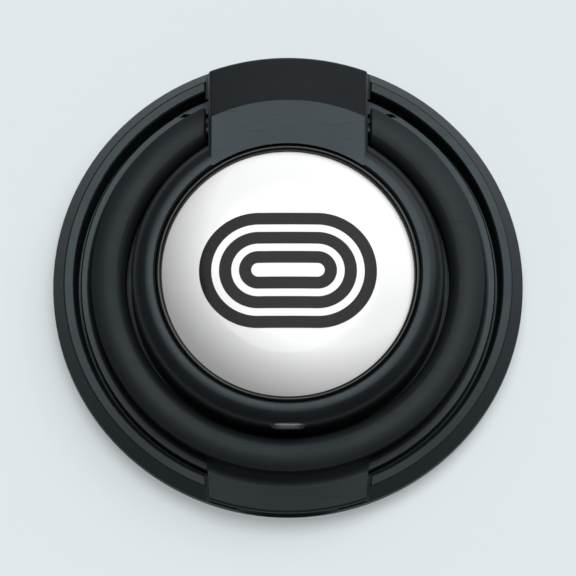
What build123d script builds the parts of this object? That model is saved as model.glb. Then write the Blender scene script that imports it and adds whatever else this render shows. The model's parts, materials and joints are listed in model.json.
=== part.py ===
from build123d import *
import os
from math import asin, atan, degrees, sqrt

# Ring holder with a stick-on base, a swivelling turntable and a hinged finger ring around a raised cup.
# Millimetres. The origin is the centre of the adhesive face, +Z points away from it and +Y to the hinge.

# Heights, from the adhesive face up
pad_t = 0.6
plate_t = 0.5
slip_t = 0.2
floor_t = 0.7
wall_h = 1.2
cup_h = 4.7

# Widths, from the medallion outwards
medallion_r = 9.8
medallion_gap = 0.55
rim_w = 0.45
shoulder_r = 1.4
ring_gap = 0.35
ring_w = 2.75
brim_w = 0.85
groove_w = 0.15
wall_lean = 0.4
crest_w = 0.75
bevel_w = 0.85

# Turntable
groove_d = 0.35
skirt_w = 1.1
skirt_drop = 0.4
edge_chamfer = 0.3
land_h = 0.7
crest_round = 0.15
notch_gap = 0.22
scoop_r = 0.8
scoop_w = 8.0

# Cup and bridge
wall_t = 1.2
seat_d = 1.2
web_t = 0.9
rim_chamfer = 0.15
bridge_w = 12.4
bridge_flat = 1.65
toe_h = 0.4
nose_h = 2.7
nose_in = 0.55
nose_round = 0.4
bridge_round = 0.3
bead_l = 2.6
bead_r = 0.3
bead_out = 0.2
bead_rise = 0.5
fit = 0.03

# Screws that hold the cup down
boss_pitch_r = 8.2
boss_r = 1.5
screw_count = 3
screw_r = 0.65
screw_head_r = 1.4
screw_head_h = 0.55
screw_grip = 2.0
screw_hole_gap = 0.1

# Ring, its hinge and its lift tab
ring_h = 2.5
ring_lift = 0.15
crown_rise = 0.35
crown_round = 0.7
crown_round_in = 1.0
sole_round = 0.5
ring_end_round = 0.2
side_gap = 0.2
hinge_drop = 1.3
heel_gap = 0.1
brim_t = 0.4
brim_root = 0.2
brim_cove = 0.4
brim_round = 0.1
brim_back = 1.35
pin_r = 0.7
pin_grip = 0.9
pin_chamfer = 0.15
bush_t = 0.55
bush_run = 0.04
bush_slot = 0.4
bush_inset = 0.6
saddle_wall = 0.9
tab_w_root = 12.6
tab_w_end = 12.0
tab_t = 0.5
tab_fall = 0.1
tab_cove = 1.0
tab_inset = 0.1
tab_round = 0.18

# Swivel stud and what it holds
plate_gap = 0.3
pad_inset = 0.3
spigot_r = 1.5
swage = 0.25
stud_r = 2.6
stud_run = 0.05
slip_r = 7.0
slip_gap = 0.4
spring_r = 4.9
spring_t = 0.2
spring_h = 0.45
spring_run = 0.02
washer_r = 4.4
washer_t = 0.4
centre_screw_r = 1.0
centre_head_r = 1.9
centre_head_h = 0.9
centre_round = 0.3
centre_tip = 0.3
drive_w = 0.4
drive_l = 2.0
drive_d = 0.45
washer_gap = 0.1

# Medallion and its bezel
bezel_drop = 0.1
tape_t = 0.2
tape_inset = 0.8
dome_r = 50.0
dome_reach = 6.5
dome_top = 0.8
medallion_edge = 0.45

# Levels that follow
plate_z = pad_t
slip_z = plate_z + plate_t
turn_z = slip_z + slip_t
floor_z = turn_z + floor_t
groove_z = floor_z - groove_d
crest_z = floor_z + wall_h
skirt_z = turn_z - skirt_drop
land_z = skirt_z + edge_chamfer + land_h
rim_z = floor_z + cup_h
seat_z = rim_z - seat_d
web_z = seat_z - web_t
ring_z = floor_z + ring_lift
crown_z = ring_z + ring_h
hinge_z = crown_z - hinge_drop
bead_z = rim_z - shoulder_r + bead_rise
stud_z = floor_z + spring_h

# Radii that follow
seat_r = medallion_r + medallion_gap
rim_r = seat_r + rim_w
cup_r = rim_r + shoulder_r
ring_in_r = cup_r + ring_gap
ring_mid_r = ring_in_r + ring_w / 2
ring_out_r = ring_in_r + ring_w
brim_r = ring_out_r + brim_w
groove_out_r = brim_r + groove_w
crest_in_r = groove_out_r + wall_lean
crest_out_r = crest_in_r + crest_w
outer_r = crest_out_r + bevel_w
skirt_in_r = outer_r - skirt_w
plate_r = skirt_in_r - plate_gap
tab_r = outer_r - tab_inset
bead_y = rim_r + sqrt(shoulder_r**2 - bead_rise**2) + bead_out - bead_r

# The ring's low crown, an arc from flank to flank, and the centre of the round at its outer edge
crown_r = (ring_w**2 / 4 + crown_rise**2) / (2 * crown_rise)
round_x = ring_out_r - crown_round
round_z = crown_z - crown_r + sqrt((crown_r - crown_round) ** 2 - (round_x - ring_mid_r) ** 2)

# Hinge line, across the ring's centre line at the middle of the pin's grip
ring_end_x = bridge_w / 2 + side_gap
hinge_y = sqrt(ring_mid_r**2 - (ring_end_x + pin_grip / 2) ** 2)
bush_r = pin_r + bush_run + bush_t
saddle_in = hinge_y - bush_r - saddle_wall
saddle_out = hinge_y + bush_r + saddle_wall
bridge_end_r = cup_r + bridge_flat

# The ring's heel, its outer corner behind the hinge line, dips below the floor as the ring lifts
heel_y = sqrt(ring_out_r**2 - ring_end_x**2) - hinge_y
heel_reach = sqrt(heel_y**2 + (hinge_z - ring_z) ** 2) + heel_gap
window_y = sqrt(heel_reach**2 - (hinge_z - floor_z) ** 2)
window_x = sqrt(brim_r**2 - (hinge_y + ring_lift) ** 2)

os.makedirs("parts", exist_ok=True)

# Foam tape that sticks the holder down
with BuildPart() as adhesive_pad:
    with BuildSketch():
        Circle(plate_r - pad_inset)
    extrude(amount=pad_t)

# Steel plate with a countersunk hole for the stud
with BuildPart() as base_plate:
    with BuildSketch(Plane.XY.offset(plate_z)):
        Circle(plate_r)
        Circle(spigot_r, mode=Mode.SUBTRACT)
    extrude(amount=plate_t)
    hole_edges = base_plate.edges().filter_by(GeomType.CIRCLE).sort_by(SortBy.RADIUS)[:2]
    chamfer(hole_edges.sort_by(Axis.Z)[0], swage)

# Turned stud, swaged into the plate and tapped for the centre screw
with BuildPart() as swivel_stud:
    with BuildSketch(Plane.XZ):
        with BuildLine():
            Polyline(
                (0, plate_z),
                (spigot_r + swage, plate_z),
                (spigot_r, plate_z + swage),
                (spigot_r, slip_z),
                (stud_r, slip_z),
                (stud_r, stud_z),
                (centre_screw_r, stud_z),
                (centre_screw_r, slip_z),
                (0, slip_z),
                close=True,
            )
        make_face()
    revolve(axis=Axis.Z)

# Nylon washer that the turntable slides on
with BuildPart() as slip_washer:
    with BuildSketch(Plane.XY.offset(slip_z)):
        Circle(slip_r)
        Circle(stud_r + slip_gap, mode=Mode.SUBTRACT)
    extrude(amount=slip_t)

# Cone spring that presses the turntable down and gives the swivel its drag
with BuildPart() as disc_spring:
    with BuildSketch(Plane.XZ):
        with BuildLine():
            Polyline(
                (spring_r, floor_z + spring_run),
                (spring_r, floor_z + spring_run + spring_t),
                (stud_r + washer_gap, stud_z),
                (stud_r + washer_gap, stud_z - spring_t),
                close=True,
            )
        make_face()
    revolve(axis=Axis.Z)

# Washer clamped on the stud, over the spring
with BuildPart() as retaining_washer:
    with BuildSketch(Plane.XY.offset(stud_z)):
        Circle(washer_r)
        Circle(centre_screw_r + washer_gap, mode=Mode.SUBTRACT)
    extrude(amount=washer_t)

# Pan-head screw in the stud
head_z = stud_z + washer_t
with BuildPart() as centre_screw:
    with BuildSketch(Plane.XY.offset(slip_z + centre_tip)):
        Circle(centre_screw_r)
    extrude(amount=head_z - slip_z - centre_tip)
    with BuildSketch(Plane.XY.offset(head_z)):
        Circle(centre_head_r)
    extrude(amount=centre_head_h)
    fillet(centre_screw.edges().group_by(Axis.Z)[-1], centre_round)
    with BuildSketch(Plane.XY.offset(head_z + centre_head_h)):
        Rectangle(drive_l, drive_w)
        Rectangle(drive_w, drive_l)
    extrude(amount=-drive_d, mode=Mode.SUBTRACT)

# Turntable: a shallow dish with a bevelled wall, notched for the bridge and the lift tab
with BuildPart() as turntable:
    with BuildSketch(Plane.XZ):
        with BuildLine():
            Polyline(
                (stud_r + stud_run, turn_z),
                (skirt_in_r, turn_z),
                (skirt_in_r, skirt_z),
                (outer_r - edge_chamfer, skirt_z),
                (outer_r, skirt_z + edge_chamfer),
                (outer_r, land_z),
                (crest_out_r, crest_z),
                (crest_in_r, crest_z),
                (groove_out_r, groove_z),
                (brim_r, groove_z),
                (brim_r, floor_z),
                (stud_r + stud_run, floor_z),
                close=True,
            )
        make_face()
    revolve(axis=Axis.Z)
    with BuildSketch(Plane.XY.offset(floor_z)):
        with Locations((0, outer_r)):
            Rectangle(bridge_w + 2 * notch_gap, 2 * (outer_r - ring_mid_r))
        with BuildLine():
            Polyline(
                (-tab_w_root / 2 - notch_gap, -ring_mid_r),
                (tab_w_root / 2 + notch_gap, -ring_mid_r),
                (tab_w_end / 2 + notch_gap, -outer_r),
                (-tab_w_end / 2 - notch_gap, -outer_r),
                close=True,
            )
        make_face()
    extrude(amount=wall_h, mode=Mode.SUBTRACT)
    fillet(turntable.edges().group_by(Axis.Z)[-1], crest_round)
    # Scoop under the tab for a fingernail
    with BuildSketch(Plane.YZ.offset(-scoop_w / 2)):
        with Locations((-outer_r - scoop_r / 3, floor_z + ring_lift)):
            Circle(scoop_r)
    extrude(amount=scoop_w, mode=Mode.SUBTRACT)
    # Saddle under the hinge
    with BuildSketch(Plane.XY.offset(floor_z)):
        with Locations((0, (saddle_in + saddle_out) / 2)):
            Rectangle(bridge_w, saddle_out - saddle_in)
    extrude(amount=hinge_z - floor_z)
    with BuildSketch(Plane.YZ.offset(-bridge_w / 2)):
        with Locations((hinge_y, hinge_z)):
            Circle(bush_r + fit)
    extrude(amount=bridge_w, mode=Mode.SUBTRACT)
    # Windows under the ring's ends, beside the saddle, that its heels dip into
    with BuildSketch(Plane.XY.offset(turn_z)):
        with Locations((0, hinge_y)):
            Rectangle(2 * window_x, 2 * window_y)
            Rectangle(bridge_w, 2 * window_y, mode=Mode.SUBTRACT)
        Circle(brim_r, mode=Mode.INTERSECT)
    extrude(amount=floor_t, mode=Mode.SUBTRACT)
    with Locations(Location((0, 0, turn_z), (180, 0, 0))):
        with PolarLocations(boss_pitch_r, screw_count, start_angle=-90):
            CounterSinkHole(
                screw_r + screw_hole_gap,
                screw_head_r + screw_hole_gap,
                counter_sink_angle=2 * degrees(atan((screw_head_r - screw_r) / screw_head_h)),
            )

# Bridge from the cup over the hinge to the outer edge, flat on top, then sloping gently to a blunt nose
with BuildPart() as bridge:
    with BuildSketch(Plane.XZ):
        with BuildLine():
            Polyline(
                (seat_r, floor_z),
                (outer_r, floor_z),
                (outer_r, floor_z + toe_h),
                (outer_r - nose_in, floor_z + nose_h),
                (bridge_end_r, rim_z),
                (seat_r, rim_z),
                close=True,
            )
        make_face()
    revolve(axis=Axis.Z)
    with BuildSketch(Plane.XY.offset(floor_z)):
        with Locations((0, outer_r / 2)):
            Rectangle(bridge_w, outer_r)
    extrude(amount=cup_h, mode=Mode.INTERSECT)
    top_arcs = bridge.edges().filter_by(GeomType.CIRCLE).group_by(Axis.Z)[-1]
    fillet(top_arcs.sort_by(SortBy.RADIUS)[-1], bridge_round)
    outer_arcs = bridge.edges().filter_by(GeomType.CIRCLE).filter_by(lambda e: e.radius > bridge_end_r + 1)
    fillet(outer_arcs.sort_by(Axis.Z)[-1], nose_round)
    sides = bridge.faces().filter_by(Axis.X)
    fillet(sides.edges().filter_by(lambda e: e.center().Z > floor_z + toe_h), bridge_round)

# Cup with a rounded shoulder, closed over the stud by a web that carries the medallion
with BuildPart() as cap:
    with BuildSketch(Plane.XZ):
        with BuildLine():
            Polyline(
                (cup_r, rim_z - shoulder_r),
                (cup_r, floor_z),
                (cup_r - wall_t, floor_z),
                (cup_r - wall_t, web_z),
                (0, web_z),
                (0, seat_z),
                (seat_r, seat_z),
                (seat_r, rim_z - rim_chamfer),
                (seat_r + rim_chamfer, rim_z),
                (rim_r, rim_z),
            )
            CenterArc((rim_r, rim_z - shoulder_r), shoulder_r, 0, 90)
        make_face()
    revolve(axis=Axis.Z)
    add(bridge.part)
    with BuildSketch(Plane.XY.offset(seat_z)):
        Circle(seat_r)
    extrude(amount=seat_d, mode=Mode.SUBTRACT)
    with BuildSketch(Plane.XY.offset(floor_z)):
        with PolarLocations(boss_pitch_r, screw_count, start_angle=90):
            Circle(boss_r)
    extrude(amount=web_z - floor_z)
    with BuildSketch(Plane.XY.offset(floor_z)):
        with PolarLocations(boss_pitch_r, screw_count, start_angle=90):
            Circle(screw_r)
    extrude(amount=screw_grip, mode=Mode.SUBTRACT)
    # Bead on the front of the shoulder, where the ring passes as it folds
    with BuildSketch(Plane.XY.offset(bead_z)):
        with Locations((0, -bead_y)):
            SlotOverall(bead_l, 2 * bead_r)
            Rectangle(bead_l, bead_r, align=(Align.CENTER, Align.MIN), mode=Mode.INTERSECT)
    revolve(axis=Axis((0, -bead_y, bead_z), (1, 0, 0)))
    # Pocket over the saddle and the upper half of the bearing
    with BuildSketch(Plane.XY.offset(floor_z)):
        with Locations((0, (saddle_in + saddle_out) / 2)):
            Rectangle(bridge_w + 2 * fit, saddle_out - saddle_in + 2 * fit)
    extrude(amount=hinge_z - floor_z, mode=Mode.SUBTRACT)
    with BuildSketch(Plane.YZ.offset(-bridge_w / 2)):
        with Locations((hinge_y, hinge_z)):
            Circle(bush_r + fit)
    extrude(amount=bridge_w, mode=Mode.SUBTRACT)

# Countersunk screws, from under the turntable into the bosses of the cup
with BuildPart() as one_screw:
    with BuildSketch(Plane.XZ):
        with BuildLine():
            Polyline(
                (0, turn_z),
                (screw_head_r, turn_z),
                (screw_r, turn_z + screw_head_h),
                (screw_r, floor_z + screw_grip - screw_hole_gap),
                (0, floor_z + screw_grip - screw_hole_gap),
                close=True,
            )
        make_face()
    revolve(axis=Axis.Z)
with BuildPart() as cap_screws:
    with PolarLocations(boss_pitch_r, screw_count, start_angle=90):
        add(one_screw.part)

# Split bush that grips the pin, so the ring stays where it is put
with BuildPart() as hinge_bush:
    with BuildSketch(Plane.YZ.offset(-bridge_w / 2 + bush_inset)):
        with Locations((hinge_y, hinge_z)):
            Circle(bush_r)
            Circle(pin_r + bush_run, mode=Mode.SUBTRACT)
        with Locations((hinge_y, hinge_z - bush_r)):
            Rectangle(bush_slot, 2 * bush_r, mode=Mode.SUBTRACT)
    extrude(amount=bridge_w - 2 * bush_inset)

# Steel pin, pressed into the two ends of the ring
with BuildPart() as hinge_pin:
    with BuildSketch(Plane.YZ.offset(-ring_end_x - pin_grip)):
        with Locations((hinge_y, hinge_z)):
            Circle(pin_r)
    extrude(amount=2 * (ring_end_x + pin_grip))
    chamfer(hinge_pin.edges().filter_by(GeomType.CIRCLE), pin_chamfer)

# Lift tab: a sloping plate that fills the front notch and sweeps up into the ring's flank
crown = Vector(round_x, round_z)
tab_end = Vector(tab_r, ring_z + tab_t)
inward = Vector(-1, tab_fall).normalized()
upward = Vector(tab_fall, 1).normalized()
reach = tab_end + upward * tab_cove - crown
slack = reach.dot(inward) ** 2 - reach.dot(reach) + (crown_round + tab_cove) ** 2
along = -reach.dot(inward) - sqrt(slack)
cove_foot = tab_end + inward * along
cove_top = crown + (reach + inward * along).normalized() * crown_round
with BuildPart() as lift_tab:
    with BuildSketch(Plane.XZ):
        with BuildLine():
            Polyline(
                (cove_top.X, cove_top.Y),
                (ring_mid_r, cove_top.Y),
                (ring_mid_r, ring_z),
                (tab_r, ring_z),
                (tab_end.X, tab_end.Y),
                (cove_foot.X, cove_foot.Y),
            )
            TangentArc((cove_foot.X, cove_foot.Y), (cove_top.X, cove_top.Y), tangent=(inward.X, inward.Y))
        make_face()
    revolve(axis=Axis.Z)
    with BuildSketch(Plane.XY.offset(ring_z)):
        with BuildLine():
            Polyline(
                (-tab_w_root / 2, -ring_mid_r + ring_w),
                (tab_w_root / 2, -ring_mid_r + ring_w),
                (tab_w_root / 2, -ring_mid_r),
                (tab_w_end / 2, -outer_r),
                (-tab_w_end / 2, -outer_r),
                (-tab_w_root / 2, -ring_mid_r),
                close=True,
            )
        make_face()
    extrude(amount=ring_h, mode=Mode.INTERSECT)
    lip = lift_tab.edges().filter_by(GeomType.CIRCLE).sort_by(lambda edge: edge.center().Y)[:2]
    fillet(lip, tab_round)

# Brim all round the ring, cut straight behind the hinge line to clear the floor when the ring lifts
brim_z = ring_z + brim_t
with BuildPart() as brim:
    with BuildSketch(Plane.XZ) as brim_section:
        with BuildLine():
            Polyline(
                (ring_out_r, brim_z + brim_cove),
                (ring_out_r - brim_root, brim_z + brim_cove),
                (ring_out_r - brim_root, ring_z),
                (brim_r, ring_z),
                (brim_r, brim_z),
                (ring_out_r + brim_cove, brim_z),
            )
            CenterArc((ring_out_r + brim_cove, brim_z + brim_cove), brim_cove, 180, 90)
        make_face()
        fillet(brim_section.vertices().sort_by(Axis.X)[-2:], brim_round)
    revolve(axis=Axis.Z)
    with BuildSketch(Plane.XY.offset(ring_z)):
        with Locations((0, hinge_y + brim_back)):
            Rectangle(2 * outer_r, outer_r, align=(Align.CENTER, Align.MIN))
    extrude(amount=ring_h, mode=Mode.SUBTRACT)

# Finger ring: flat sole, upright flanks and a low crown, open at the bridge and bored for the pin
shoulder_z = crown_z - crown_rise
with BuildPart() as finger_ring:
    with BuildSketch(Plane.XZ) as ring_section:
        with BuildLine():
            ThreePointArc((ring_out_r, shoulder_z), (ring_mid_r, crown_z), (ring_in_r, shoulder_z))
            Polyline(
                (ring_in_r, shoulder_z),
                (ring_in_r, ring_z),
                (ring_out_r, ring_z),
                (ring_out_r, shoulder_z),
            )
        make_face()
        fillet(ring_section.vertices().group_by(Axis.Y)[0], sole_round)
        shoulders = ring_section.vertices().group_by(Axis.Y)[-1].sort_by(Axis.X)
        fillet(shoulders[0], crown_round_in)
        fillet(shoulders[1], crown_round)
    revolve(axis=Axis.Z)
    with BuildSketch(Plane.XY.offset(ring_z)):
        with Locations((0, outer_r / 2)):
            Rectangle(2 * ring_end_x, outer_r)
    extrude(amount=ring_h, mode=Mode.SUBTRACT)
    fillet(finger_ring.faces().filter_by(Axis.X).edges(), ring_end_round)
    with BuildSketch(Plane.YZ.offset(-ring_end_x - pin_grip)):
        with Locations((hinge_y, hinge_z)):
            Circle(pin_r)
    extrude(amount=2 * (ring_end_x + pin_grip), mode=Mode.SUBTRACT)
    add(brim.part)
    add(lift_tab.part)

# Tape that holds the medallion in the cup
with BuildPart() as medallion_tape:
    with BuildSketch(Plane.XY.offset(seat_z)):
        Circle(medallion_r - tape_inset)
    extrude(amount=tape_t)

# Domed white medallion, nearly flat in the middle and falling away at the edge
medallion_z = seat_z + tape_t
edge_z = medallion_z + medallion_edge
dome_z = rim_z + dome_top
dome_turn = degrees(asin(dome_reach / dome_r))
with BuildPart() as medallion:
    with BuildSketch(Plane.XZ):
        with BuildLine():
            middle = CenterArc((0, dome_z - dome_r), dome_r, 90, -dome_turn)
            TangentArc(middle @ 1, (medallion_r, edge_z), tangent=middle % 1)
            Polyline(
                (medallion_r, edge_z),
                (medallion_r, medallion_z),
                (0, medallion_z),
                (0, dome_z),
            )
        make_face()
    revolve(axis=Axis.Z)

# Half-round bezel that closes the gap between medallion and cup
bezel_in_r = medallion_r + fit
bezel_round = (seat_r - fit - bezel_in_r) / 2
bezel_z = rim_z - bezel_drop - bezel_round
with BuildPart() as bezel_ring:
    with BuildSketch(Plane.XZ):
        with BuildLine():
            CenterArc((bezel_in_r + bezel_round, bezel_z), bezel_round, 0, 180)
            Polyline(
                (bezel_in_r, bezel_z),
                (bezel_in_r, seat_z),
                (seat_r - fit, seat_z),
                (seat_r - fit, bezel_z),
            )
        make_face()
    revolve(axis=Axis.Z)

pieces = {
    "adhesive_pad": adhesive_pad,
    "base_plate": base_plate,
    "swivel_stud": swivel_stud,
    "slip_washer": slip_washer,
    "disc_spring": disc_spring,
    "retaining_washer": retaining_washer,
    "centre_screw": centre_screw,
    "turntable": turntable,
    "cap": cap,
    "cap_screws": cap_screws,
    "hinge_bush": hinge_bush,
    "medallion_tape": medallion_tape,
    "medallion": medallion,
    "bezel_ring": bezel_ring,
    "finger_ring": finger_ring,
    "hinge_pin": hinge_pin,
}
for name, piece in pieces.items():
    piece.part.label = name
    export_step(piece.part, f"parts/{name}.step")
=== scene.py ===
# %% [markdown]
# # A ring holder, dressed from its CAD frame
#
# The holder is a small black dish that sticks to a flat back. A finger ring folds down around a raised
# cup, and a domed white medallion sits in the cup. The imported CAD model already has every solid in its
# right place, so it is loaded first and stays as it is. What this lesson adds is what a drawing office
# leaves out: the grain of the mouldings, the coat of the medallion, its printed design, and the light to
# see them in.

# %% Load the frame
import json
from math import cos, radians, sin

import bpy
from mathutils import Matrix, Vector


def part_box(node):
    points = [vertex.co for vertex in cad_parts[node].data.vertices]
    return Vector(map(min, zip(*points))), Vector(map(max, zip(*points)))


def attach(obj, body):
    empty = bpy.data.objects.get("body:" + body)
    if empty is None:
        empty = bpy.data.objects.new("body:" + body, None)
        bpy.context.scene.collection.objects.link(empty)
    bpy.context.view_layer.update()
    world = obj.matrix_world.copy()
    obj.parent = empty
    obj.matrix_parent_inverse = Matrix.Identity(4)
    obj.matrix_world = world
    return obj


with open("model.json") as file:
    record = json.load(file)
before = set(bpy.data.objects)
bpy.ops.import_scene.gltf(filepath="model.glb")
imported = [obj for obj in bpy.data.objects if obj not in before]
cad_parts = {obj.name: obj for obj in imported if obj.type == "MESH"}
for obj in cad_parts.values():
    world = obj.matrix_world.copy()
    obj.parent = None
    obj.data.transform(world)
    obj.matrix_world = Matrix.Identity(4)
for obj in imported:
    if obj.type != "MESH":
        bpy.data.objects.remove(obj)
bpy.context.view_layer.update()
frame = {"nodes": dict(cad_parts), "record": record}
bpy.ops.object.select_all(action="DESELECT")
mm = 0.001
nodes_by_name = frame["nodes"]

# %% [markdown]
# ## The camera
#
# The holder is seen almost from above, tipped 14 degrees so that the front wall of the cup shows. A long
# lens far away keeps the circles true, as a product photographer would. Camera and target are set before
# anything else, because every finish below is judged from here.

# %% Camera
elevation = radians(76)
view_width = 44.9 * mm
lens_mm = 800
sensor_mm = 36
target = Vector((0, 0, 1.6 * mm))
away = Vector((0, -cos(elevation), sin(elevation)))
camera_data = bpy.data.cameras.new("photo_camera")
camera_data.lens = lens_mm
camera_data.sensor_width = sensor_mm
camera_data.clip_start = 10 * mm
camera = bpy.data.objects.new("photo_camera", camera_data)
bpy.context.scene.collection.objects.link(camera)
camera.location = target + away * (view_width * lens_mm / sensor_mm)
camera.rotation_euler = (-away).to_track_quat("-Z", "Y").to_euler()
bpy.context.scene.camera = camera
print("camera stands off", round(camera.location.length / mm), "mm")

# %% [markdown]
# ## Small helpers for node materials
#
# Each finish below is a short chain of nodes. Seven helpers keep the cells readable: they start a
# material, add a node with its settings, lay a noise on the object, spread a value over a range, raise a
# bump, mix two tones for the colour, and measure the distance from a point. Every pattern reads Object
# coordinates, so it is as large on the part as it is written here, in metres.

# %% Node helpers
def start_finish(name):
    finish = bpy.data.materials.new(name)
    finish.use_nodes = True
    shader = finish.node_tree.nodes["Principled BSDF"]
    return finish, finish.node_tree, shader


def add_node(tree, kind, inputs=None, **settings):
    node = tree.nodes.new(kind)
    for key, value in settings.items():
        setattr(node, key, value)
    for key, value in (inputs or {}).items():
        node.inputs[key].default_value = value
    return node


def noise_on_object(tree, size, detail=2.0, stretch=(1, 1, 1)):
    place = add_node(tree, "ShaderNodeTexCoord")
    turn = add_node(tree, "ShaderNodeMapping", {"Scale": stretch})
    grain = add_node(tree, "ShaderNodeTexNoise", {"Scale": 1 / size, "Detail": detail})
    tree.links.new(place.outputs["Object"], turn.inputs["Vector"])
    tree.links.new(turn.outputs["Vector"], grain.inputs["Vector"])
    return grain.outputs["Fac"]


def spread(tree, value, low, high, start=0.3, stop=0.7):
    span = add_node(
        tree,
        "ShaderNodeMapRange",
        {"From Min": start, "From Max": stop, "To Min": low, "To Max": high},
    )
    tree.links.new(value, span.inputs["Value"])
    return span.outputs["Result"]


def raise_by(tree, shader, height, depth, strength):
    bump = add_node(tree, "ShaderNodeBump", {"Distance": depth, "Strength": strength})
    tree.links.new(height, bump.inputs["Height"])
    tree.links.new(bump.outputs["Normal"], shader.inputs["Normal"])


def two_tone(tree, shader, value, dark, light):
    tone = add_node(tree, "ShaderNodeMix", data_type="RGBA")
    tone.inputs["A"].default_value = dark
    tone.inputs["B"].default_value = light
    tree.links.new(value, tone.inputs["Factor"])
    tree.links.new(tone.outputs["Result"], shader.inputs["Base Color"])
    return tone.outputs["Result"]


def distance_on_object(tree, middle, squeeze):
    place = add_node(tree, "ShaderNodeTexCoord")
    scale = add_node(tree, "ShaderNodeMapping", {"Scale": squeeze})
    reach = add_node(tree, "ShaderNodeVectorMath", {1: middle}, operation="DISTANCE")
    tree.links.new(place.outputs["Object"], scale.inputs["Vector"])
    tree.links.new(scale.outputs["Vector"], reach.inputs[0])
    return reach.outputs["Value"]


print("node helpers ready")

# %% [markdown]
# ## Black moulded plastic
#
# Dish and cup are injection moulded in a black, faintly blue-green plastic with a satin skin. A steel
# mould leaves a very fine spark-eroded grain, the melt leaves broad cloudy changes of gloss, and handling
# leaves hairlines. A flat colour would look like rubber, so the clouds set the tone, clouds and hairlines
# set the roughness, and the grain is raised as a bump. The chain is a function, because the ring and the
# cup use it again below, the ring with a coarser skin. Thumbs reach in for the tab at the front, so the
# dish is worn a little duller towards it, which is one more ramp, along Y.

# %% Black plastic
def black_finish(name, rough_low, rough_high, grain_depth):
    finish, tree, shader = start_finish(name)
    shader.inputs["IOR"].default_value = 1.3
    shader.inputs["Specular Tint"].default_value = (0.76, 0.91, 0.98, 1)
    cloud = noise_on_object(tree, 5 * mm, 3.0)
    grain = noise_on_object(tree, 0.14 * mm, 1.0)
    hairline = noise_on_object(tree, 2.2 * mm, 4.0, (1, 24, 6))
    two_tone(tree, shader, cloud, (0.0065, 0.0078, 0.0086, 1), (0.0105, 0.0125, 0.0135, 1))
    satin = spread(tree, cloud, rough_low, rough_high)
    rubbed = spread(tree, hairline, 0.0, 0.1, 0.6, 0.72)
    roughness = add_node(tree, "ShaderNodeMath", operation="ADD")
    tree.links.new(satin, roughness.inputs[0])
    tree.links.new(rubbed, roughness.inputs[1])
    tree.links.new(roughness.outputs[0], shader.inputs["Roughness"])
    raise_by(tree, shader, grain, grain_depth, 0.35)
    return finish, tree, shader, roughness.outputs[0]


worn_reach = 12 * mm
worn_more = 0.16


def front_wear(tree, fresh, worn):
    place = add_node(tree, "ShaderNodeTexCoord")
    axes = add_node(tree, "ShaderNodeSeparateXYZ")
    tree.links.new(place.outputs["Object"], axes.inputs["Vector"])
    return spread(tree, axes.outputs["Y"], worn, fresh, -worn_reach, 0)


black_plastic, tree, shader, skin = black_finish("black_moulded_plastic", 0.3, 0.37, 0.004 * mm)
worn_skin = add_node(tree, "ShaderNodeMath", operation="ADD")
tree.links.new(skin, worn_skin.inputs[0])
tree.links.new(front_wear(tree, 0, worn_more), worn_skin.inputs[1])
tree.links.new(worn_skin.outputs[0], shader.inputs["Roughness"])
print("black plastic nodes:", len(tree.nodes))

# %% [markdown]
# ## The ring's matt skin
#
# The ring is the piece that fingers grip, so its mould is blasted and its skin is matt. Only the thin
# brim round its foot is rubbed bright, less so towards the tab. The matt roughness therefore drops to the
# satin one in a narrow band of the distance from the middle, measured on the ring itself, so the band
# travels with it.

# %% Matt ring
def polish_near(tree, shader, skin, distance, near, far):
    polish = add_node(tree, "ShaderNodeMix", data_type="FLOAT")
    tree.links.new(spread(tree, distance, 0, 1, near, far), polish.inputs["Factor"])
    tree.links.new(skin, polish.inputs["B"])
    tree.links.new(polish.outputs["Result"], shader.inputs["Roughness"])
    return polish.inputs["A"]


black_ring, tree, shader, skin = black_finish("black_matt_ring", 0.46, 0.54, 0.008 * mm)
brim_mid_r = 15.9 * mm
brim_reach = 0.3 * mm
brim_fade = 0.5 * mm
brim_rough = 0.3
worn_brim_rough = 0.46
off_brim = add_node(tree, "ShaderNodeMath", {1: brim_mid_r}, operation="SUBTRACT")
width = add_node(tree, "ShaderNodeMath", operation="ABSOLUTE")
tree.links.new(distance_on_object(tree, (0, 0, 0), (1, 1, 0)), off_brim.inputs[0])
tree.links.new(off_brim.outputs[0], width.inputs[0])
brim_skin = polish_near(tree, shader, skin, width.outputs[0], brim_reach, brim_fade)
tree.links.new(front_wear(tree, brim_rough, worn_brim_rough), brim_skin)
print("matt ring nodes:", len(tree.nodes))

# %% [markdown]
# ## The cup's polished bead and its painted highlight
#
# A short bead stands on the front of the cup's shoulder, and the ring folds down just clear of it.
# Fingers that reach into the ring polish it, so its roughness drops and it reflects more sharply than the
# dull wall around it. Its tone is painted a shade paler as well, a painted highlight that stands in for a
# glint on its crest. Both follow the distance from the bead's middle, squeezed along X because the bead
# is longer than it is thick. The bead is the foremost point of the cup, so its place is read from the
# solid's box.

# %% Cup with a polished bead and a painted highlight
black_cup, tree, shader, skin = black_finish("black_satin_cup", 0.3, 0.37, 0.004 * mm)
bead_r = 0.3 * mm
bead_below_rim = 0.9 * mm
bead_rough = 0.1
bead_squeeze = (0.3, 1, 1)
polish_reach = 0.35 * mm
polish_fade = 0.55 * mm
glint_reach = 0.32 * mm
glint_fade = 0.46 * mm
cup_low, cup_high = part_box("cap")
bead_middle = (0, cup_low.y + bead_r, cup_high.z - bead_below_rim)
from_bead = distance_on_object(tree, bead_middle, bead_squeeze)
bead_skin = polish_near(tree, shader, skin, from_bead, polish_reach, polish_fade)
bead_skin.default_value = bead_rough
black_tone = shader.inputs["Base Color"].links[0].from_socket
# The paler grey near the bead is a painted highlight for its glint, not a scuff.
painted_glint = add_node(tree, "ShaderNodeMix", data_type="RGBA")
painted_glint.inputs["A"].default_value = (0.1, 0.1, 0.105, 1)
tree.links.new(spread(tree, from_bead, 0, 1, glint_reach, glint_fade), painted_glint.inputs["Factor"])
tree.links.new(black_tone, painted_glint.inputs["B"])
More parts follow.
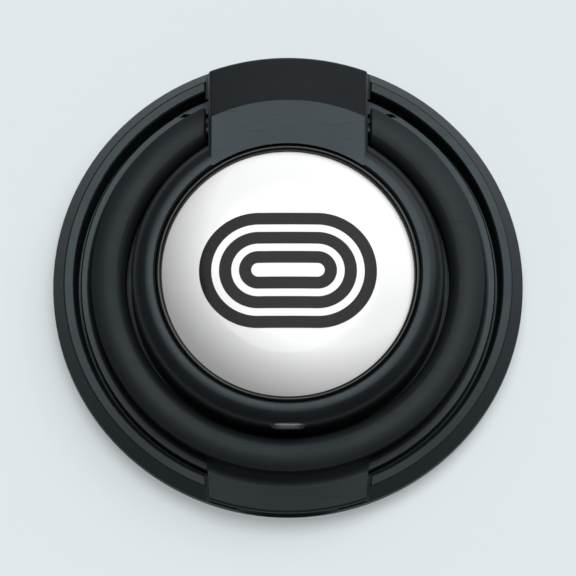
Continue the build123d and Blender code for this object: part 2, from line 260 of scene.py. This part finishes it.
tree.links.new(painted_glint.outputs["Result"], shader.inputs["Base Color"])
print("cup nodes:", len(tree.nodes), "bead at", [round(v / mm, 2) for v in bead_middle])

# %% [markdown]
# ## White coated blank
#
# The medallion is a white coated blank under a clear gloss, the kind that takes a printed design. The
# coat has a slight orange peel and the white below it is a little uneven. Its left and lower edge are
# painted a soft grey, a painted shade that stands in for the dome turning away from the light. A clear
# coat on the shader gives the sharp reflection, and the painted shade is a ramp of the distance from a
# point off centre, so it has no edge of its own.

# %% White insert
white_insert, tree, shader = start_finish("white_coated_blank")
shader.inputs["Coat Weight"].default_value = 0.3
shader.inputs["Coat Roughness"].default_value = 0.15
shader.inputs["IOR"].default_value = 1.25
milk = noise_on_object(tree, 6 * mm, 2.0)
peel = noise_on_object(tree, 0.9 * mm, 1.0)
white_tone = two_tone(tree, shader, milk, (0.9, 0.905, 0.905, 1), (0.94, 0.94, 0.94, 1))
# The grey ramp towards the lower left is painted shade, where the dome turns away from the light.
painted_shade_middle = (3 * mm, 3 * mm, 0)
painted_shade_start = 9 * mm
painted_shade_stop = 13.4 * mm
off_centre = distance_on_object(tree, painted_shade_middle, (1, 1, 0))
shade = spread(tree, off_centre, 0, 1, painted_shade_start, painted_shade_stop)
painted_shade_mix = add_node(tree, "ShaderNodeMix", data_type="RGBA")
painted_shade_mix.inputs["B"].default_value = (0.42, 0.42, 0.42, 1)
tree.links.new(shade, painted_shade_mix.inputs["Factor"])
tree.links.new(white_tone, painted_shade_mix.inputs["A"])
tree.links.new(painted_shade_mix.outputs["Result"], shader.inputs["Base Color"])
tree.links.new(spread(tree, milk, 0.22, 0.3), shader.inputs["Roughness"])
raise_by(tree, shader, peel, 0.004 * mm, 0.12)
print("white blank nodes:", len(tree.nodes))

# %% [markdown]
# ## Printing ink
#
# The design is printed in one black ink and lies under the same gloss as the white. One flat black would
# look like a hole in the dome. The ink is a shade less even than the blank, with a fine mottle where the
# coat took it up, and the mottle moves both its tone and its roughness.

# %% Black ink
black_ink, tree, shader = start_finish("black_ink")
shader.inputs["Coat Weight"].default_value = 0.08
shader.inputs["Coat Roughness"].default_value = 0.15
shader.inputs["IOR"].default_value = 1.12
mottle = noise_on_object(tree, 0.25 * mm, 3.0)
two_tone(tree, shader, mottle, (0.006, 0.006, 0.007, 1), (0.012, 0.012, 0.013, 1))
tree.links.new(spread(tree, mottle, 0.24, 0.32), shader.inputs["Roughness"])
print("ink nodes:", len(tree.nodes))

# %% [markdown]
# ## Polished black
#
# The thin bezel round the medallion comes from a polished mould. It is the same black without the grain,
# so it is nearly black all round, with a fine sharp line of light along its crest. A polished mould
# leaves no marks to raise as a bump, so only a soft noise, as from wiping, moves the roughness.

# %% Gloss black
gloss_black, tree, shader = start_finish("polished_black")
shader.inputs["Base Color"].default_value = (0.004, 0.0045, 0.005, 1)
shader.inputs["IOR"].default_value = 1.3
wipe = noise_on_object(tree, 1.6 * mm, 3.0)
tree.links.new(spread(tree, wipe, 0.08, 0.16), shader.inputs["Roughness"])
print("gloss black nodes:", len(tree.nodes))

# %% [markdown]
# ## Zinc-plated steel
#
# Stud, screws, washer and spring are small steel parts with a bright zinc plate. Rolled sheet and turned
# studs both carry fine lines, so a stretched noise moves the roughness, and a broad one dulls it in
# patches.

# %% Steel
steel, tree, shader = start_finish("zinc_plated_steel")
shader.inputs["Metallic"].default_value = 1.0
rolled = noise_on_object(tree, 0.5 * mm, 3.0, (1, 16, 1))
dull = noise_on_object(tree, 3 * mm, 2.0)
two_tone(tree, shader, dull, (0.5, 0.51, 0.53, 1), (0.66, 0.67, 0.68, 1))
tree.links.new(spread(tree, rolled, 0.24, 0.42), shader.inputs["Roughness"])
raise_by(tree, shader, rolled, 0.003 * mm, 0.25)
print("steel nodes:", len(tree.nodes))

# %% [markdown]
# ## Black-oxide steel
#
# The hinge pin and the base plate are blackened, so that neither glints in the narrow gap between ring
# and bridge or through the windows in the dish. Paint would look flat and soft. Oxide is a thin skin on
# metal, so the shader stays metallic, with a dark tone that is a little uneven.

# %% Blackened steel
black_steel, tree, shader = start_finish("black_oxide_steel")
shader.inputs["Metallic"].default_value = 1.0
oxide = noise_on_object(tree, 0.3 * mm, 3.0)
two_tone(tree, shader, oxide, (0.02, 0.02, 0.022, 1), (0.045, 0.046, 0.05, 1))
tree.links.new(spread(tree, oxide, 0.35, 0.5), shader.inputs["Roughness"])
print("black oxide nodes:", len(tree.nodes))

# %% [markdown]
# ## Foam tape
#
# The pad under the dish is closed-cell foam, seen only at its cut edge and from below. Noise would look
# like plaster, so a Voronoi texture gives it cells, and the same cells set the tone, the roughness and
# the bump.

# %% Foam tape
foam_tape, tree, shader = start_finish("foam_tape")
cell_size = 0.18 * mm
cell_edge = 0.6
cells = add_node(tree, "ShaderNodeTexVoronoi", {"Scale": 1 / cell_size})
place = add_node(tree, "ShaderNodeTexCoord")
tree.links.new(place.outputs["Object"], cells.inputs["Vector"])
cell_depth = spread(tree, cells.outputs["Distance"], 0, 1, 0, cell_edge)
two_tone(tree, shader, cell_depth, (0.02, 0.02, 0.021, 1), (0.06, 0.06, 0.062, 1))
cell_rough = spread(tree, cells.outputs["Distance"], 0.75, 0.95, 0, cell_edge)
tree.links.new(cell_rough, shader.inputs["Roughness"])
raise_by(tree, shader, cell_depth, 0.03 * mm, 0.5)
print("foam nodes:", len(tree.nodes))

# %% [markdown]
# ## Clear tape and nylon
#
# The thin tape under the medallion and the nylon washer and bush are hidden in use, but they show when
# the holder is taken apart. Both are pale and lightly grained, so one function makes them, and each has a
# tone of its own.

# %% Clear tape and nylon
def pale_finish(name, dark, light, rough_low, rough_high, grain_size):
    finish, tree, shader = start_finish(name)
    grain = noise_on_object(tree, grain_size, 2.0)
    two_tone(tree, shader, grain, dark, light)
    tree.links.new(spread(tree, grain, rough_low, rough_high), shader.inputs["Roughness"])
    raise_by(tree, shader, grain, 0.005 * mm, 0.2)
    return finish


clear_tape = pale_finish("clear_tape", (0.7, 0.7, 0.67, 1), (0.8, 0.8, 0.77, 1), 0.3, 0.45, 1.5 * mm)
nylon = pale_finish("natural_nylon", (0.74, 0.72, 0.65, 1), (0.82, 0.8, 0.74, 1), 0.42, 0.58, 0.4 * mm)
print("pale finishes:", clear_tape.name, nylon.name)

# %% [markdown]
# ## Put the finishes on the solids
#
# The record names a material slot for each node. A loop over the record gives each slot the finish made
# above, so a node that changes its slot there is dressed to match. The ring and the cup get their own
# versions of the black, and the solids themselves are left alone.

# %% Assign finishes
finish_of_slot = {
    "black_plastic": black_plastic,
    "white_insert": white_insert,
    "steel": steel,
    "foam_tape": foam_tape,
    "clear_tape": clear_tape,
    "nylon": nylon,
    "gloss_black": gloss_black,
    "black_steel": black_steel,
}
for subpart in frame["record"]["subparts"]:
    node = nodes_by_name[subpart["node"]]
    for slot in node.material_slots:
        slot.material = finish_of_slot[subpart["material_slot"]]
nodes_by_name["finger_ring"].material_slots[0].material = black_ring
nodes_by_name["cap"].material_slots[0].material = black_cup

# %% [markdown]
# ## The printed design
#
# The blank carries a plain running-track design in bold black: three loops, one inside the other. An
# image could carry it, but it would blur close up, where a mesh stays crisp. Each loop starts as a filled
# circle. Its right half is moved right and its left half left, which makes the two straights, and an
# inset leaves a band of even width. The band is then cut finely, so that it can bend with the dome.

# %% Track loops
ink_film = 0.02 * mm
loop_count = 3
loop_width = 0.95 * mm
loop_gap = 0.6 * mm
track_straight = 2.3 * mm
track_end_r = 4.6 * mm
loop_points = 128
band_cuts = 3
dome = nodes_by_name["medallion"]
dome_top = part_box("medallion")[1].z


def pull_half(side):
    mesh = bpy.context.edit_object.data
    bpy.ops.mesh.select_all(action="DESELECT")
    bpy.ops.object.mode_set(mode="OBJECT")
    for vertex in mesh.vertices:
        vertex.select = vertex.co.x * side > 0
    bpy.ops.object.mode_set(mode="EDIT")
    bpy.ops.transform.translate(value=(side * track_straight, 0, 0))


def track_loop(end_r):
    bpy.ops.object.select_all(action="DESELECT")
    half_step = radians(360 / loop_points / 2)
    bpy.ops.mesh.primitive_circle_add(
        vertices=loop_points, radius=end_r, fill_type="NGON", rotation=(0, 0, half_step)
    )
    bpy.ops.object.transform_apply(location=True, rotation=True, scale=True)
    bpy.ops.object.mode_set(mode="EDIT")
    bpy.ops.mesh.select_mode(type="VERT")
    pull_half(1)
    pull_half(-1)
    bpy.ops.mesh.select_mode(type="FACE")
    bpy.ops.mesh.select_all(action="SELECT")
    bpy.ops.mesh.inset(thickness=loop_width, depth=0)
    bpy.ops.mesh.delete(type="FACE")
    bpy.ops.mesh.select_all(action="SELECT")
    bpy.ops.mesh.subdivide(number_cuts=band_cuts)
    bpy.ops.object.mode_set(mode="OBJECT")
    return bpy.context.object


loops = [track_loop(track_end_r - step * (loop_width + loop_gap)) for step in range(loop_count)]
print("loops:", [len(loop.data.polygons) for loop in loops])

# %% [markdown]
# ## Ink on the dome
#
# The loops are still flat, and the blank is domed. They are joined and lifted above it, a Shrinkwrap
# drops every point straight down onto it, and a Solidify gives the ink the thickness of a film. Bending
# the loops by hand would be guesswork, and a projection along Z also keeps the design true from above, as
# a printing pad does.

# %% Lay the ink on the dome
above_dome = 1 * mm
soft_edge = radians(40)
bpy.ops.object.select_all(action="DESELECT")
for loop in loops:
    loop.select_set(True)
bpy.context.view_layer.objects.active = loops[0]
bpy.ops.object.join()
track_print = bpy.context.object
track_print.name = "track_print"
track_print.data.name = "track_print"
bpy.ops.object.mode_set(mode="EDIT")
bpy.ops.mesh.select_all(action="SELECT")
bpy.ops.transform.translate(value=(0, 0, dome_top + above_dome))
bpy.ops.object.mode_set(mode="OBJECT")
lay = track_print.modifiers.new("lay", "SHRINKWRAP")
lay.target = dome
lay.wrap_method = "PROJECT"
lay.use_project_z = True
lay.use_negative_direction = True
lay.use_positive_direction = False
lay.offset = ink_film / 2
bpy.ops.object.modifier_apply(modifier="lay")
film = track_print.modifiers.new("film", "SOLIDIFY")
film.thickness = ink_film
film.offset = 0
bpy.ops.object.modifier_apply(modifier="film")
bpy.ops.object.shade_smooth_by_angle(angle=soft_edge)
track_print.data.materials.append(black_ink)
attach(track_print, "turntable")
print("print faces:", len(track_print.data.polygons))

# %% [markdown]
# ## The floor
#
# The holder lies on a plain pale floor that glows a little by itself towards the camera and in
# reflections, as a lit table does, so the shadow on it stays soft. It lies a hair under the pad and is
# clear from below, so the pad's face can be looked at through it.

# %% Floor
bpy.ops.object.select_all(action="DESELECT")
floor_gap = 0.02 * mm
floor_side = 4000 * mm
bpy.ops.mesh.primitive_plane_add(size=floor_side, location=(0, 0, -floor_gap))
floor = bpy.context.object
floor.name = "floor"
floor_paint, tree, shader = start_finish("pale_floor")
shader.inputs["Base Color"].default_value = (0.4, 0.432, 0.444, 1)
shader.inputs["Emission Color"].default_value = (0.31, 0.332, 0.342, 1)
shader.inputs["Roughness"].default_value = 0.6
ray = add_node(tree, "ShaderNodeLightPath")
seen = add_node(tree, "ShaderNodeMath", operation="ADD")
glow = add_node(tree, "ShaderNodeMath", operation="ADD", use_clamp=True)
tree.links.new(ray.outputs["Is Camera Ray"], seen.inputs[0])
tree.links.new(ray.outputs["Is Glossy Ray"], seen.inputs[1])
tree.links.new(seen.outputs[0], glow.inputs[0])
tree.links.new(ray.outputs["Is Transmission Ray"], glow.inputs[1])
tree.links.new(glow.outputs[0], shader.inputs["Emission Strength"])
side = add_node(tree, "ShaderNodeNewGeometry")
clear = add_node(tree, "ShaderNodeBsdfTransparent")
one_way = add_node(tree, "ShaderNodeMixShader")
tree.links.new(side.outputs["Backfacing"], one_way.inputs["Fac"])
tree.links.new(shader.outputs["BSDF"], one_way.inputs[1])
tree.links.new(clear.outputs["BSDF"], one_way.inputs[2])
tree.links.new(one_way.outputs["Shader"], tree.nodes["Material Output"].inputs["Surface"])
floor.data.materials.append(floor_paint)
print("floor at", round(floor.location.z, 4))

# %% [markdown]
# ## Lamps and world
#
# A softbox overhead draws the light lines along every crest and brim, a key at the upper right models the
# dome, and a low strip behind lifts the slope of the bridge. Area lamps would fade across the floor, so
# sun lamps with a wide angle act as far-off softboxes and light all of it evenly.

# %% Lamps and world
def soft_sun(name, toward, strength, width_deg):
    data = bpy.data.lights.new(name, "SUN")
    data.energy = strength
    data.angle = radians(width_deg)
    lamp = bpy.data.objects.new(name, data)
    bpy.context.scene.collection.objects.link(lamp)
    lamp.rotation_euler = Vector(toward).to_track_quat("Z", "Y").to_euler()


soft_sun("overhead", (0.04, 0.26, 0.96), 1.85, 36)
soft_sun("key", (0.55, 0.5, 0.67), 1.2, 44)
soft_sun("rear_strip", (0, 0.93, 0.37), 0.2, 40)
world = bpy.context.scene.world or bpy.data.worlds.new("studio")
bpy.context.scene.world = world
world.use_nodes = True
sky = world.node_tree.nodes["Background"]
sky.inputs["Color"].default_value = (0.96, 0.98, 1, 1)
sky.inputs["Strength"].default_value = 0.16
bpy.context.scene.view_settings.view_transform = "Standard"
